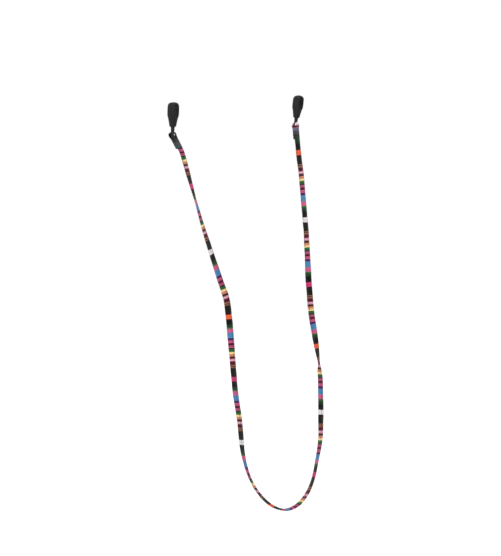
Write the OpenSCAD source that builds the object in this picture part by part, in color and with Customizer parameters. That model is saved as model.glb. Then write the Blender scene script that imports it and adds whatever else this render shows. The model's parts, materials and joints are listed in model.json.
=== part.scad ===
// Eyeglass retainer strap: a narrow folded band of cross-striped cloth that hangs from two
// moulded rubber temple loops. Each end of the band is turned round a steel crossbar pin and
// sewn back on itself, and the loop's neck swings on that pin.
// +Z is up, +X runs from the left temple to the right one, and +Y is the way the wearer faces.
// The origin is the centre of the left temple slot. All sizes are in millimetres.

/* [Strap] */
// Width of the folded strap
strap_w = 5.2; // [4.4:0.1:7]
// Thickness of the folded strap
strap_t = 1.6; // [1.2:0.1:2.2]
// Length of each end that is turned round its pin and sewn back
fold_length = 12; // [10:0.5:18]
// Diameter of the sewing thread
thread_d = 0.4; // [0.2:0.05:0.6]
// Distance from the long seam to the strap's open edge
seam_inset = 1; // [0.6:0.1:1.6]

/* [Temple loops] */
// Distance between the centres of the two temple slots
temple_gap = 139; // [115:1:165]
// Clear width of a temple slot
slot_w = 5.2; // [4.2:0.1:7]
// Clear height of a temple slot
slot_h = 10; // [8:0.5:14]
// Length of a loop along the temple
loop_depth = 8.8; // [7.5:0.1:12]
// Rubber on each side of the slot
side_wall = 1.3; // [1:0.1:2]
// Rubber over the top of the slot
crown_wall = 3; // [2:0.1:4]
// Rounding of the loop's outer edges
edge_r = 2.6; // [1.8:0.1:3]
// Length of solid rubber from the slot down to the shoulder
taper_length = 6.5; // [4:0.5:8]
// Width of the shoulder at the foot of the taper
shoulder_w = 5.2; // [4.4:0.1:6]
// Rounding of the shoulder's corners
shoulder_r = 1; // [0.6:0.1:1.4]
// Length of the neck from the shoulder to the pin's centre
neck_length = 6.5; // [5:0.5:10]
// Width of the neck along the pin
neck_w = 3; // [2.4:0.1:3.4]
// Thickness of the neck across the pin
neck_t = 2.5; // [2:0.1:2.6]

/* [Crossbar pins] */
// Diameter of the crossbar pin
pin_d = 1.2; // [0.8:0.1:1.4]
// Rubber around the pin at the foot of the neck
barrel_wall = 0.7; // [0.5:0.05:0.9]
// How far each end of the pin stops inside the strap's edge
pin_recess = 0.1; // [0:0.05:0.3]
// Running clearance around the pin in the strap's fold
pin_clearance = 0.05; // [0.02:0.01:0.1]
// Clearance on each side of the neck in the strap's notch
neck_clearance = 0.15; // [0.1:0.05:0.3]

/* [Rest pose] */
// Height of the right slot above the left one
right_rise = 3.5; // [0:0.5:8]
// Lean of the left loop, with its foot outward
left_lean = 9; // [0:1:20]
// Lean of the right loop, with its foot inward
right_lean = 16; // [0:1:20]
// Slant of the left end of the strap, running inward
left_slant = 28; // [0:1:30]
// Slant of the right end of the strap, running outward
right_slant = 0; // [0:1:10]

/* [Hidden] */
$fn = 48;

charcoal = [0.16, 0.15, 0.15];
rubber_black = [0.09, 0.09, 0.1];
steel = [0.72, 0.73, 0.75];
thread_grey = [0.3, 0.28, 0.29];
cloth_pink = [0.8, 0.32, 0.52];

// Loop, in its own frame: the slot's centre is the origin and the neck points down
loop_w = slot_w + 2 * side_wall;
crown_top = slot_h / 2 + crown_wall;
shoulder_z = -slot_h / 2 - taper_length;
pin_drop = -shoulder_z + neck_length;
barrel_r = pin_d / 2 + barrel_wall;
hull_fn = 32;

// Strap end, in its own frame: the pin's axis is the origin and the strap hangs down
bore_r = pin_d / 2 + pin_clearance;
fold_r = bore_r + strap_t;
fold_taper = fold_r + strap_t;
notch_w = neck_w + 2 * neck_clearance;
notch_floor = -barrel_r - 2 * neck_clearance;
pin_length = strap_w - 2 * pin_recess;

// Tack: two bars across the doubled strap, joined by a row along each side
tack_top = -fold_taper - 1;
tack_foot = -fold_length + 1.3;
tack_half = strap_w / 2 - 1.1;
tack_side = 3;
stitch_gap = 0.35;
thread_sink = thread_d / 4;

// A vector in the XZ plane turned about +Y, which takes +Z towards +X
function turned(v, a) = [v[0] * cos(a) + v[2] * sin(a), v[1], v[2] * cos(a) - v[0] * sin(a)];

left_pin = turned([0, 0, -pin_drop], left_lean);
right_slot = [temple_gap, 0, right_rise];
right_pin = right_slot + turned([0, 0, -pin_drop], right_lean);

// The band leaves each end as the layer on the +X side
band_exit = [strap_t / 2, 0, -fold_length];
left_exit = left_pin + turned(band_exit, -left_slant);
right_exit = right_pin + turned(band_exit, right_slant);
start_way = turned([0, 0, -1], -left_slant);
end_way = turned([0, 0, 1], right_slant);

// The band's way from the left end to the right one: x, y, z, and its roll in degrees about
// its own direction, where 0 lays the width along Y
ROUTE = [
    [6, 0, -34, 5], [9, -1, -50, 12], [14, -2, -74, 42], [19, -2, -94, 60],
    [24, -3, -114, 75], [30, -3, -134, 88], [35, -4, -153, 110], [36, -4, -167, 132],
    [36, -4, -184, 142], [35, -5, -206, 165], [35, -5, -230, 172], [36, -6, -254, 178],
    [36, -6, -274, 188], [38, -6, -290, 203], [43, -6, -305, 205], [52, -6, -319, 195],
    [64, -6, -330, 185], [78, -6, -336, 180], [92, -6, -335, 175], [104, -6, -328, 165],
    [113, -6, -317, 155], [120, -6, -301, 157], [126, -6, -284, 170], [130, -5, -264, 186],
    [132, -5, -245, 182], [133, -5, -233, 178], [133, -5, -226, 168], [133, -5, -218, 132],
    [132, -4, -196, 75], [130, -4, -176, 60], [130, -4, -162, 64], [131, -3, -148, 45],
    [132, -3, -130, 12], [134, -2, -106, 2], [134, -2, -82, 0], [135, -1, -58, 0],
    [135, 0, -38, 0]];
steps = 2;

function with_roll(p, roll) = [p[0], p[1], p[2], roll];
way = concat([with_roll(left_exit, 0)], ROUTE, [with_roll(right_exit, 0)]);
last = len(way) - 1;
function way_at(i) =
    i < 0 ? 2 * way[0] - way[1] :
    i > last ? 2 * way[last] - way[last - 1] : way[i];

// A smooth curve through every point of the route
function curve(a, b, c, d, t) =
    (2 * b + (c - a) * t + (2 * a - 5 * b + 4 * c - d) * t * t
    + (3 * b - a - 3 * c + d) * t * t * t) / 2;
rings = concat(
    [for (i = [0 : last - 1], k = [0 : steps - 1])
        curve(way_at(i - 1), way_at(i), way_at(i + 1), way_at(i + 2), k / steps)],
    [way[last]]);
end_ring = len(rings) - 1;

function place(p) = [p[0], p[1], p[2]];
function unit(v) = v / norm(v);
function heading(i) =
    i == 0 ? start_way :
    i == end_ring ? end_way : unit(place(rings[i + 1]) - place(rings[i - 1]));
function level_width(t) = unit([0, 1, 0] - t * t[1]);
function width_way(i) =
    let (t = heading(i), w = level_width(t), roll = rings[i][3])
    w * cos(roll) + cross(t, w) * sin(roll);
function face_way(i) = cross(heading(i), width_way(i));

// A closed tube: the outline [across, out] is carried along the rings, and shifted by offset
module swept(outline, offset) {
    sides = len(outline);
    points = [for (i = [0 : end_ring], p = outline)
        place(rings[i]) + (p[0] + offset[0]) * width_way(i) + (p[1] + offset[1]) * face_way(i)];
    walls = [for (i = [0 : end_ring - 1], k = [0 : sides - 1])
        let (n = (k + 1) % sides, a = i * sides + k, b = i * sides + n,
            c = a + sides, d = b + sides)
        each [[a, c, b], [b, c, d]]];
    start_cap = [[for (k = [0 : sides - 1]) k]];
    end_cap = [[for (k = [0 : sides - 1]) (end_ring + 1) * sides - 1 - k]];
    polyhedron(points, concat(walls, start_cap, end_cap), convexity = 10);
}

corner = strap_t / 4;
band_outline = [
    [strap_w / 2, strap_t / 2 - corner], [strap_w / 2 - corner, strap_t / 2],
    [corner - strap_w / 2, strap_t / 2], [-strap_w / 2, strap_t / 2 - corner],
    [-strap_w / 2, corner - strap_t / 2], [corner - strap_w / 2, -strap_t / 2],
    [strap_w / 2 - corner, -strap_t / 2], [strap_w / 2, corner - strap_t / 2]];
thread_outline = [for (a = [0 : 45 : 315]) thread_d / 2 * [cos(a), sin(a)]];
seam_across = strap_w / 2 - seam_inset;

module strap_band() {
    color(cloth_pink) swept(band_outline, [0, 0]);
}

// The long seam is lock-stitched, so one thread lies on each face
module seam_thread(side) {
    color(thread_grey) swept(thread_outline, [seam_across, side * strap_t / 2]);
}

module seam_needle_thread() {
    seam_thread(1);
}

module seam_bobbin_thread() {
    seam_thread(-1);
}

// A rod along Y, centred on the axis
module rod(d, length) {
    rotate([90, 0, 0]) cylinder(d = d, h = length, center = true);
}

// A slab with the given XZ outline, centred on Y
module slab(length) {
    rotate([90, 0, 0]) linear_extrude(length, center = true) children();
}

// The doubled end of the strap, with a notch in its fold for the loop's neck
module strap_end() {
    color(charcoal) difference() {
        slab(strap_w) union() {
            circle(r = fold_r);
            polygon([[-fold_r, 0], [-strap_t, -fold_taper], [-strap_t, -fold_length],
                [strap_t, -fold_length], [strap_t, -fold_taper], [fold_r, 0]]);
        }
        rod(2 * bore_r, strap_w + 1);
        translate([-fold_r - 1, -notch_w / 2, notch_floor])
            cube([2 * fold_r + 2, notch_w, fold_r - notch_floor + 1]);
    }
}

module left_end_frame() {
    translate(left_pin) rotate([0, -left_slant, 0]) children();
}

module right_end_frame() {
    translate(right_pin) rotate([0, right_slant, 0]) children();
}

module left_strap_end() {
    left_end_frame() strap_end();
}

module right_strap_end() {
    right_end_frame() strap_end();
}

// One stitch that lies on the doubled strap, along Y or along Z
module stitch(along_y, length) {
    rotate(along_y ? [90, 0, 0] : [0, 0, 0])
        cylinder(d = thread_d, h = length - stitch_gap, center = true);
}

// Both faces of the box tack that holds the turned-back end
module tack() {
    bar_stitch = 2 * tack_half / 3;
    side_stitch = (tack_top - tack_foot) / tack_side;
    color(thread_grey)
        for (face = [-1, 1]) translate([face * (strap_t + thread_d / 2 - thread_sink), 0, 0]) {
            for (z = [tack_top, tack_foot], k = [-1 : 1])
                translate([0, k * bar_stitch, z]) stitch(true, bar_stitch);
            for (y = [-tack_half, tack_half], k = [0 : tack_side - 1])
                translate([0, y, tack_foot + (k + 0.5) * side_stitch]) stitch(false, side_stitch);
        }
}

module left_tack_thread() {
    left_end_frame() tack();
}

module right_tack_thread() {
    right_end_frame() tack();
}

module left_crossbar_pin() {
    color(steel) translate(left_pin) rod(pin_d, pin_length);
}

module right_crossbar_pin() {
    color(steel) translate(right_pin) rod(pin_d, pin_length);
}

// Four balls that set the corners of one level of the loop's body
module level(z, w, d, r) {
    for (x = [r - w / 2, w / 2 - r], y = [r - d / 2, d / 2 - r])
        translate([x, y, z]) sphere(r = r, $fn = hull_fn);
}

// One moulding: crown, slot walls, taper, shoulder, neck and the barrel that grips the pin
module temple_loop() {
    color(rubber_black) difference() {
        union() {
            hull() {
                level(crown_top - edge_r, loop_w, loop_depth, edge_r);
                level(edge_r - slot_h / 2, loop_w, loop_depth, edge_r);
                level(shoulder_z + shoulder_r, shoulder_w, shoulder_w, shoulder_r);
            }
            translate([-neck_t / 2, -neck_w / 2, -pin_drop])
                cube([neck_t, neck_w, neck_length + shoulder_r]);
            translate([0, 0, -pin_drop]) rod(2 * barrel_r, neck_w);
        }
        slab(loop_depth + 2) union() {
            square([slot_w, slot_h - slot_w], center = true);
            for (side = [-1, 1]) translate([0, side * (slot_h - slot_w) / 2]) circle(d = slot_w);
        }
        translate([0, 0, -pin_drop]) rod(pin_d, neck_w + 1);
    }
}

module left_temple_loop() {
    rotate([0, left_lean, 0]) temple_loop();
}

module right_temple_loop() {
    translate(right_slot) rotate([0, right_lean, 0]) temple_loop();
}

strap_band();
seam_needle_thread();
seam_bobbin_thread();
left_strap_end();
right_strap_end();
left_tack_thread();
right_tack_thread();
left_crossbar_pin();
right_crossbar_pin();
left_temple_loop();
right_temple_loop();
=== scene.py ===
"""Eyeglass retainer strap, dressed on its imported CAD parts.

A narrow band of cross-striped cotton, folded and lock-stitched flat, hangs in a long U between
two moulded rubber temple loops. Each end of the band is turned round a steel pin and tacked down,
and the neck of its loop swings on that pin.

The frame is the CAD model's: metres, +Z up, +X from the left temple to the right one, +Y the way
the wearer faces, and the origin at the centre of the left temple slot.
"""

import json
import logging
import math
from dataclasses import dataclass, field
from enum import Enum

import bmesh
import bpy
import numpy as np
from mathutils import Matrix, Vector

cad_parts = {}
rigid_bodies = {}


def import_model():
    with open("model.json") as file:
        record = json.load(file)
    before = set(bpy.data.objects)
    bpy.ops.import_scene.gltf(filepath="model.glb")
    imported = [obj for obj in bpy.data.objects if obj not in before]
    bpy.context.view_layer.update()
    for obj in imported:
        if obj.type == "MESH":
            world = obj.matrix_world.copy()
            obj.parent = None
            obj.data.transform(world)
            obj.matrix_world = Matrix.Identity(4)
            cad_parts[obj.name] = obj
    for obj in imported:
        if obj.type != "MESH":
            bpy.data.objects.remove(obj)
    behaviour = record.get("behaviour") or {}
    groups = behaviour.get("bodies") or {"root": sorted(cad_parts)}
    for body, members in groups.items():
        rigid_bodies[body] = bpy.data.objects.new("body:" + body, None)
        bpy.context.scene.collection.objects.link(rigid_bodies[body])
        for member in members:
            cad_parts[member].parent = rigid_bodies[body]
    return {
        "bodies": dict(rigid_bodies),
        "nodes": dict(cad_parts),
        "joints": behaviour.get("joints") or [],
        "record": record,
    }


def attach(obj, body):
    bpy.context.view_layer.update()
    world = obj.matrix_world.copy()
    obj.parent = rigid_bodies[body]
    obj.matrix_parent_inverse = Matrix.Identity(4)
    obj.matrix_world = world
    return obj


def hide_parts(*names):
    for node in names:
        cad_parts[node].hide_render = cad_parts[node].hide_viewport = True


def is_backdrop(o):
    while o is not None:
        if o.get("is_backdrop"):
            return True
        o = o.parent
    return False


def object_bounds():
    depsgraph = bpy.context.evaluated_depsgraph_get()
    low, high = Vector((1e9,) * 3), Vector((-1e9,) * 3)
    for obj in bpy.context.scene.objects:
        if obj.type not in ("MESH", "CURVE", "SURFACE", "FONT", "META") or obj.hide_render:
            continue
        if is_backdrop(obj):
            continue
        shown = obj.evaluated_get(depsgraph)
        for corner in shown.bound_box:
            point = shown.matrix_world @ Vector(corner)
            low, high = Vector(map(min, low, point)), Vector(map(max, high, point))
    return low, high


log = logging.getLogger("retainer_strap")

Array = np.ndarray
Socket = bpy.types.NodeSocket
MM = 0.001


class Side(Enum):
    """Which temple a loop or a sewn end belongs to."""

    LEFT = "left"
    RIGHT = "right"


class Body(Enum):
    """The rigid bodies that pieces ride on."""

    STRAP = "strap"
    LEFT_LOOP = "left_loop"
    RIGHT_LOOP = "right_loop"


class MaterialSlot(Enum):
    """The record's finishes, by the names that it gives them."""

    CLOTH = "striped_cloth"
    THREAD = "seam_thread"
    RUBBER = "loop_rubber"
    STEEL = "pin_steel"


class Yarn(Enum):
    """Colours of the cloth, as sRGB from 0 to 255: the band's dyed yarns, and the greyer SLATE,
    SLATE_GREY and TEAL that only the sewn ends show.
    """

    BLACK = (15, 13, 14)
    CHARCOAL = (46, 43, 45)
    ORANGE = (240, 102, 60)
    WHITE = (232, 230, 228)
    MAGENTA = (206, 56, 118)
    TAN = (150, 100, 74)
    MAROON = (86, 12, 42)
    MAUVE = (202, 132, 158)
    BROWN = (60, 35, 26)
    SALMON = (222, 142, 112)
    CREAM = (242, 218, 146)
    GREEN = (40, 98, 44)
    DARK_GREEN = (30, 58, 34)
    PINK = (203, 92, 134)
    PALE_PINK = (244, 214, 222)
    VIOLET = (72, 30, 82)
    BLUE = (76, 134, 181)
    SLATE = (92, 102, 128)
    TEAL = (52, 84, 84)
    SLATE_GREY = (70, 70, 76)
    WINE = (42, 18, 28)
    OLIVE = (24, 26, 18)


# ---- small geometry and colour helpers


def linear(colour: Yarn) -> tuple[float, float, float, float]:
    """A yarn's colour in linear light, with full alpha.

    Args:
        colour: The dyed yarn.

    Returns:
        Red, green, blue and alpha, each from 0 to 1.
    """
    parts = [c / 255 for c in colour.value]
    lit = [c / 12.92 if c <= 0.04045 else ((c + 0.055) / 1.055) ** 2.4 for c in parts]
    return (lit[0], lit[1], lit[2], 1.0)


def unit_rows(rows: Array) -> Array:
    """Each row scaled to length 1."""
    return rows / np.linalg.norm(rows, axis=-1, keepdims=True)


def ease(value: Array | float) -> Array | float:
    """A smooth step from 0 at 0 to 1 at 1."""
    held = np.clip(value, 0.0, 1.0)
    return held * held * (3 - 2 * held)


@dataclass(frozen=True)
class Wobble:
    """An irregular, repeatable wave along a line: its size, its wavelength and what picks it."""

    size: float
    length: float
    seed: int

    def at(self, along: Array) -> Array:
        """The wave at each distance along the line, from about -size to size."""
        draw = np.random.default_rng(self.seed)
        total = np.zeros_like(along)
        for _ in range(5):
            pitch, shift = self.length * draw.uniform(0.55, 1.9), draw.uniform(0, 2 * math.pi)
            total += np.sin(2 * math.pi * along / pitch + shift)
        return self.size * (total / 3.0)


def mesh_piece(name: str, points: Array, faces: list[tuple[int, ...]]) -> bpy.types.Object:
    """A smooth-shaded piece from its points and faces.

    Args:
        name: The piece's name.
        points: One row for each point, in metres.
        faces: Each face's point numbers, counter-clockwise from outside.

    Returns:
        The new object, in the scene.
    """
    mesh = bpy.data.meshes.new(name)
    mesh.from_pydata([tuple(p) for p in points], [], faces)
    mesh.polygons.foreach_set("use_smooth", [True] * len(mesh.polygons))
    mesh.update()
    piece = bpy.data.objects.new(name, mesh)
    bpy.context.scene.collection.objects.link(piece)
    return piece


def apply_modifiers(piece: bpy.types.Object) -> None:
    """Bakes a piece's modifiers into its mesh."""
    bpy.context.view_layer.update()
    graph = bpy.context.evaluated_depsgraph_get()
    old = piece.data
    piece.data = bpy.data.meshes.new_from_object(piece.evaluated_get(graph))
    piece.data.name = old.name
    piece.modifiers.clear()
    bpy.data.meshes.remove(old)


def write_map(piece: bpy.types.Object, name: str, values: Array) -> None:
    """Gives a mesh a UV map, one row of values for each face corner."""
    layer = piece.data.uv_layers.new(name=name)
    layer.data.foreach_set("uv", np.ascontiguousarray(values, np.float32).ravel())


def dress(
    piece: bpy.types.Object, material: bpy.types.Material, body: Body
) -> None:
    """Gives a piece its finish and the body that it moves with.

    Args:
        piece: The piece.
        material: Its finish.
        body: The body that it rides on.
    """
    piece.data.materials.clear()
    piece.data.materials.append(material)
    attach(piece, body.value)


# ---- finishes


class Shading:
    """A material's nodes, with one short method for each kind of node that the finishes use."""

    def __init__(self, name: str) -> None:
        """Starts a material with one Principled shader.

        Args:
            name: The material's name.
        """
        self.material = bpy.data.materials.new(name)
        self.material.use_nodes = True
        self.tree = self.material.node_tree
        self.tree.nodes.clear()
        self.shader = self.tree.nodes.new("ShaderNodeBsdfPrincipled")
        output = self.tree.nodes.new("ShaderNodeOutputMaterial")
        self.tree.links.new(self.shader.outputs["BSDF"], output.inputs["Surface"])

    def put(self, target: Socket, value: Socket | float | tuple) -> None:
        """Links a socket to an input, or sets the input to a plain value."""
        if isinstance(value, bpy.types.NodeSocket):
            self.tree.links.new(value, target)
        else:
            target.default_value = value

    def feed(self, name: str, value: Socket | float | tuple) -> None:
        """Sets or links one of the Principled shader's inputs."""
        self.put(self.shader.inputs[name], value)

    def math(self, operation: str, *values: Socket | float) -> Socket:
        """One step of arithmetic.

        Args:
            operation: Blender's name of the operation.
            values: Its operands, sockets or numbers.

        Returns:
            The result's socket.
        """
        node = self.tree.nodes.new("ShaderNodeMath")
        node.operation = operation
        for target, value in zip(node.inputs, values):
            self.put(target, value)
        return node.outputs[0]

    def map_axes(self, name: str) -> tuple[Socket, Socket]:
        """The two coordinates of a UV map."""
        source = self.tree.nodes.new("ShaderNodeUVMap")
        source.uv_map = name
        split = self.tree.nodes.new("ShaderNodeSeparateXYZ")
        self.tree.links.new(source.outputs[0], split.inputs[0])
        return split.outputs[0], split.outputs[1]

    def place_axes(self) -> tuple[Socket, Socket, Socket]:
        """A point's own x, y and z in the piece."""
        source = self.tree.nodes.new("ShaderNodeTexCoord")
        split = self.tree.nodes.new("ShaderNodeSeparateXYZ")
        self.tree.links.new(source.outputs["Object"], split.inputs[0])
        return split.outputs[0], split.outputs[1], split.outputs[2]

    def joined(self, x: Socket | float, y: Socket | float, z: Socket | float = 0.0) -> Socket:
        """Three numbers as one vector."""
        node = self.tree.nodes.new("ShaderNodeCombineXYZ")
        for target, value in zip(node.inputs, (x, y, z)):
            self.put(target, value)
        return node.outputs[0]

    def noise(self, at: Socket, scale: float, detail: float = 2.0) -> Socket:
        """Smooth noise from 0 to 1.

        Args:
            at: Where it is read.
            scale: How many of its waves fit in one unit.
            detail: How many finer layers it has.

        Returns:
            The noise value's socket.
        """
        node = self.tree.nodes.new("ShaderNodeTexNoise")
        self.put(node.inputs["Vector"], at)
        node.inputs["Scale"].default_value = scale
        node.inputs["Detail"].default_value = detail
        return node.outputs["Fac"]

    def ramp(
        self, at: Socket, stops: list[tuple[float, tuple]], stepped: bool = False
    ) -> Socket:
        """A colour for each value from 0 to 1.

        Args:
            at: The value.
            stops: Each place from 0 to 1 and its colour, in order.
            stepped: Whether each colour holds until the next, or blends into it.

        Returns:
            The colour's socket.
        """
        node = self.tree.nodes.new("ShaderNodeValToRGB")
        node.color_ramp.interpolation = "CONSTANT" if stepped else "LINEAR"
        self.put(node.inputs[0], at)
        marks = node.color_ramp.elements
        marks[0].position, marks[0].color = stops[0]
        marks[1].position, marks[1].color = stops[-1]
        for place, colour in stops[1:-1]:
            marks.new(place).color = colour
        return node.outputs["Color"]

    def span(self, value: Socket, start: float, end: float, low: float, high: float) -> Socket:
        """A value moved from one span to another, and held within it."""
        node = self.tree.nodes.new("ShaderNodeMapRange")
        for name, number in (
            ("From Min", start),
            ("From Max", end),
            ("To Min", low),
            ("To Max", high),
        ):
            node.inputs[name].default_value = number
        self.put(node.inputs["Value"], value)
        return node.outputs["Result"]

    def blended(
        self, share: Socket | float, a: Socket | tuple, b: Socket | tuple, way: str = "MIX"
    ) -> Socket:
        """Two colours as one.

        Args:
            share: How much of the second one shows, from 0 to 1.
            a: The first colour.
            b: The second colour.
            way: Blender's name of the blending.

        Returns:
            The colour's socket.
        """
        node = self.tree.nodes.new("ShaderNodeMix")
        node.data_type = "RGBA"
        node.blend_type = way
        self.put(node.inputs["Factor"], share)
        self.put(node.inputs[6], a)
        self.put(node.inputs[7], b)
        return node.outputs[2]

    def bump(self, height: Socket, depth: float, strength: float = 1.0) -> None:
        """Raises the surface by a height from 0 to 1.

        Args:
            height: The height.
            depth: How far a height of 1 stands up, in metres.
            strength: How much of it shows.
        """
        node = self.tree.nodes.new("ShaderNodeBump")
        node.inputs["Distance"].default_value = depth
        node.inputs["Strength"].default_value = strength
        self.put(node.inputs["Height"], height)
        self.put(self.shader.inputs["Normal"], node.outputs[0])


@dataclass(frozen=True)
class StripedCotton:
    """Warp-faced cotton: yarns lie across the band in coloured stripes, with fine ribs along it.

    The map "stripes" holds the distance across the band in mm, and the place in the stripe
    pattern. The map "cloth" holds the distances round and along the band in mm.
    """

    name: str
    stripes: tuple[tuple[float, Yarn], ...]
    bars: tuple[Yarn, ...] = ()
    repeat: float = 56.0
    bar_half: float = 1.75
    scallop: float = 0.42
    yarn_pitch: float = 0.34
    rib_pitch: float = 0.52
    half_width: float = 2.6
    rubbed_width: float = 0.55
    tooth_width: float = 0.5
    figure_half: float = 0.2

    def material(self) -> bpy.types.Material:
        """The cloth's material."""
        s = Shading(self.name)
        across, place = s.map_axes("stripes")
        round_it, along = s.map_axes("cloth")
        grain = s.joined(s.math("MULTIPLY", round_it, 0.45), s.math("MULTIPLY", along, 4.2))
        streaks = s.noise(grain, 1.0, 3.0)
        drift = s.noise(s.joined(round_it, s.math("MULTIPLY", along, 0.35)), 1.3, 2.0)
        wander = s.math("MULTIPLY", s.math("SUBTRACT", drift, 0.5), 0.5 / self.repeat)
        moved = s.math("ADD", place, wander)
        colour = s.ramp(
            s.math("FRACT", moved), [(p, linear(y)) for p, y in self.stripes], stepped=True
        )
        if self.bars:
            colour = self.with_bars(s, colour, moved, across)
        shade = s.ramp(streaks, [(0.25, (0.72, 0.72, 0.72, 1)), (0.75, (1.0, 1.0, 1.0, 1))])
        colour = s.blended(1.0, colour, shade, "MULTIPLY")
        edge = self.half_width
        rubbed = s.span(s.math("ABSOLUTE", across), edge - self.rubbed_width, edge, 0, 0.06)
        colour = s.blended(rubbed, colour, (0.42, 0.38, 0.38, 1))
        s.feed("Base Color", colour)
        s.feed("Roughness", s.span(streaks, 0.2, 0.8, 0.74, 0.94))
        s.feed("Specular IOR Level", 0.12)
        s.feed("Sheen Weight", 0.08)
        s.feed("Sheen Roughness", 0.45)
        s.bump(self.weave(s, round_it, along, streaks), 0.00009, 0.8)
        return s.material

    def weave(self, s: Shading, round_it: Socket, along: Socket, streaks: Socket) -> Socket:
        """The height of the woven surface, from 0 to 1.

        Args:
            s: The nodes.
            round_it: The distance round the band, in mm.
            along: The distance along it, in mm.
            streaks: Noise that runs with the yarns.

        Returns:
            The height's socket.
        """
        turn = 2 * math.pi
        yarn = s.math("SINE", s.math("MULTIPLY", along, turn / self.yarn_pitch))
        rib = s.math("SINE", s.math("MULTIPLY", round_it, turn / self.rib_pitch))
        crossing = s.math("MULTIPLY", yarn, rib)
        height = s.math("MULTIPLY_ADD", crossing, 0.25, 0.4)
        height = s.math("MULTIPLY_ADD", rib, 0.12, height)
        return s.math("MULTIPLY_ADD", streaks, 0.35, height)

    def with_bars(self, s: Shading, ground: Socket, place: Socket, across: Socket) -> Socket:
        """Lays the brocaded bars over the stripes: one bar to a repeat, in turn of colour.

        Args:
            s: The nodes.
            ground: The stripes' colour.
            place: The place in the pattern, in repeats.
            across: The distance across the band, in mm.

        Returns:
            The colour's socket.
        """
        count = len(self.bars)
        number = s.math("FLOOR", s.math("ADD", place, 0.5))
        turn = s.math("FRACT", s.math("DIVIDE", s.math("ADD", number, 0.5), float(count)))
        bar = s.ramp(turn, [(i / count, linear(y)) for i, y in enumerate(self.bars)], stepped=True)
        offset = s.math("SUBTRACT", s.math("FRACT", s.math("ADD", place, 0.5)), 0.5)
        away = s.math("MULTIPLY", offset, self.repeat)
        tooth = s.math("PINGPONG", s.math("ADD", across, 10.0), self.tooth_width)
        reach = s.math("MULTIPLY_ADD", tooth, 2 * self.scallop, self.bar_half)
        inside = s.math("LESS_THAN", s.math("ABSOLUTE", away), reach)
        chevron = s.math("SUBTRACT", s.math("MULTIPLY", tooth, 2.4), 0.6)
        line = s.math("ABSOLUTE", s.math("SUBTRACT", away, chevron))
        figure = s.math("LESS_THAN", line, self.figure_half)
        fleck = s.noise(s.joined(across, away), 2.6, 1.0)
        figure = s.math("MULTIPLY", figure, s.math("GREATER_THAN", fleck, 0.47))
        inlaid = s.blended(s.math("MULTIPLY", figure, 0.75), bar, linear(Yarn.CHARCOAL))
        return s.blended(inside, ground, inlaid)


@dataclass(frozen=True)
class SewingThread:
    """Two-ply polyester sewing thread: dark, with the faint gloss of its twisted plies."""

    name: str = "sewing_thread"
    colour: Yarn = Yarn.BLACK
    lint_gain: float = 2.2
    lint_lift: float = 0.01
    ply_phase: float = 9000.0

    def material(self) -> bpy.types.Material:
        """The thread's material."""
        s = Shading(self.name)
        x, y, z = s.place_axes()
        at = s.joined(x, y, z)
        lint = s.noise(at, 2600.0, 2.0)
        base = linear(self.colour)
        worn = (*(min(1.0, c * self.lint_gain + self.lint_lift) for c in base[:3]), 1.0)
        s.feed("Base Color", s.blended(s.span(lint, 0.35, 0.75, 0.0, 0.6), base, worn))
        s.feed("Roughness", s.span(lint, 0.2, 0.8, 0.42, 0.66))
        s.feed("Sheen Weight", 0.12)
        total = s.math("ADD", s.math("ADD", x, y), z)
        ply = s.math("SINE", s.math("MULTIPLY", total, self.ply_phase))
        s.bump(s.math("MULTIPLY_ADD", ply, 0.5, 0.5), 0.00003, 0.5)
        return s.material


@dataclass(frozen=True)
class SatinRubber:
    """Soft black moulded rubber with a satin face, a fine mould grain and a parting line."""

    name: str = "satin_rubber"
    line_half: float = 0.00016

    def material(self) -> bpy.types.Material:
        """The rubber's material."""
        s = Shading(self.name)
        x, y, z = s.place_axes()
        at = s.joined(x, y, z)
        cloud = s.noise(at, 180.0, 3.0)
        grain = s.noise(at, 3400.0, 2.0)
        colour = s.ramp(
            cloud, [(0.3, (0.004, 0.004, 0.0043, 1)), (0.72, (0.0085, 0.0083, 0.0085, 1))]
        )
        dust = s.span(s.noise(at, 900.0, 4.0), 0.66, 0.8, 0.0, 0.35)
        s.feed("Base Color", s.blended(dust, colour, (0.03, 0.029, 0.0285, 1)))
        s.feed("Roughness", s.span(cloud, 0.3, 0.7, 0.4, 0.56))
        s.feed("Specular IOR Level", 0.2)
        line = s.span(s.math("ABSOLUTE", y), 0.0, self.line_half, 1.0, 0.0)
        height = s.math("MULTIPLY_ADD", grain, 0.3, s.math("MULTIPLY", line, 0.7))
        s.bump(height, 0.00006, 0.7)
        return s.material


@dataclass(frozen=True)
class DrawnSteel:
    """Stainless wire, drawn along Y, with fine lines round it."""

    name: str = "drawn_steel"
    lines_round: float = 9000.0
    lines_along: float = 500.0

    def material(self) -> bpy.types.Material:
        """The steel's material."""
        s = Shading(self.name)
        x, y, z = s.place_axes()
        scales = (self.lines_round, self.lines_along, self.lines_round)
        drawn = [s.math("MULTIPLY", v, k) for v, k in zip((x, y, z), scales)]
        lines = s.noise(s.joined(*drawn), 1.0, 2.0)
        greys = [(0.3, (0.5, 0.5, 0.52, 1)), (0.7, (0.66, 0.66, 0.67, 1))]
        s.feed("Base Color", s.ramp(lines, greys))
        s.feed("Roughness", s.span(lines, 0.3, 0.7, 0.22, 0.4))
        s.feed("Metallic", 1.0)
        s.bump(lines, 0.00001, 0.4)
        return s.material


# ---- strap's line


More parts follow.
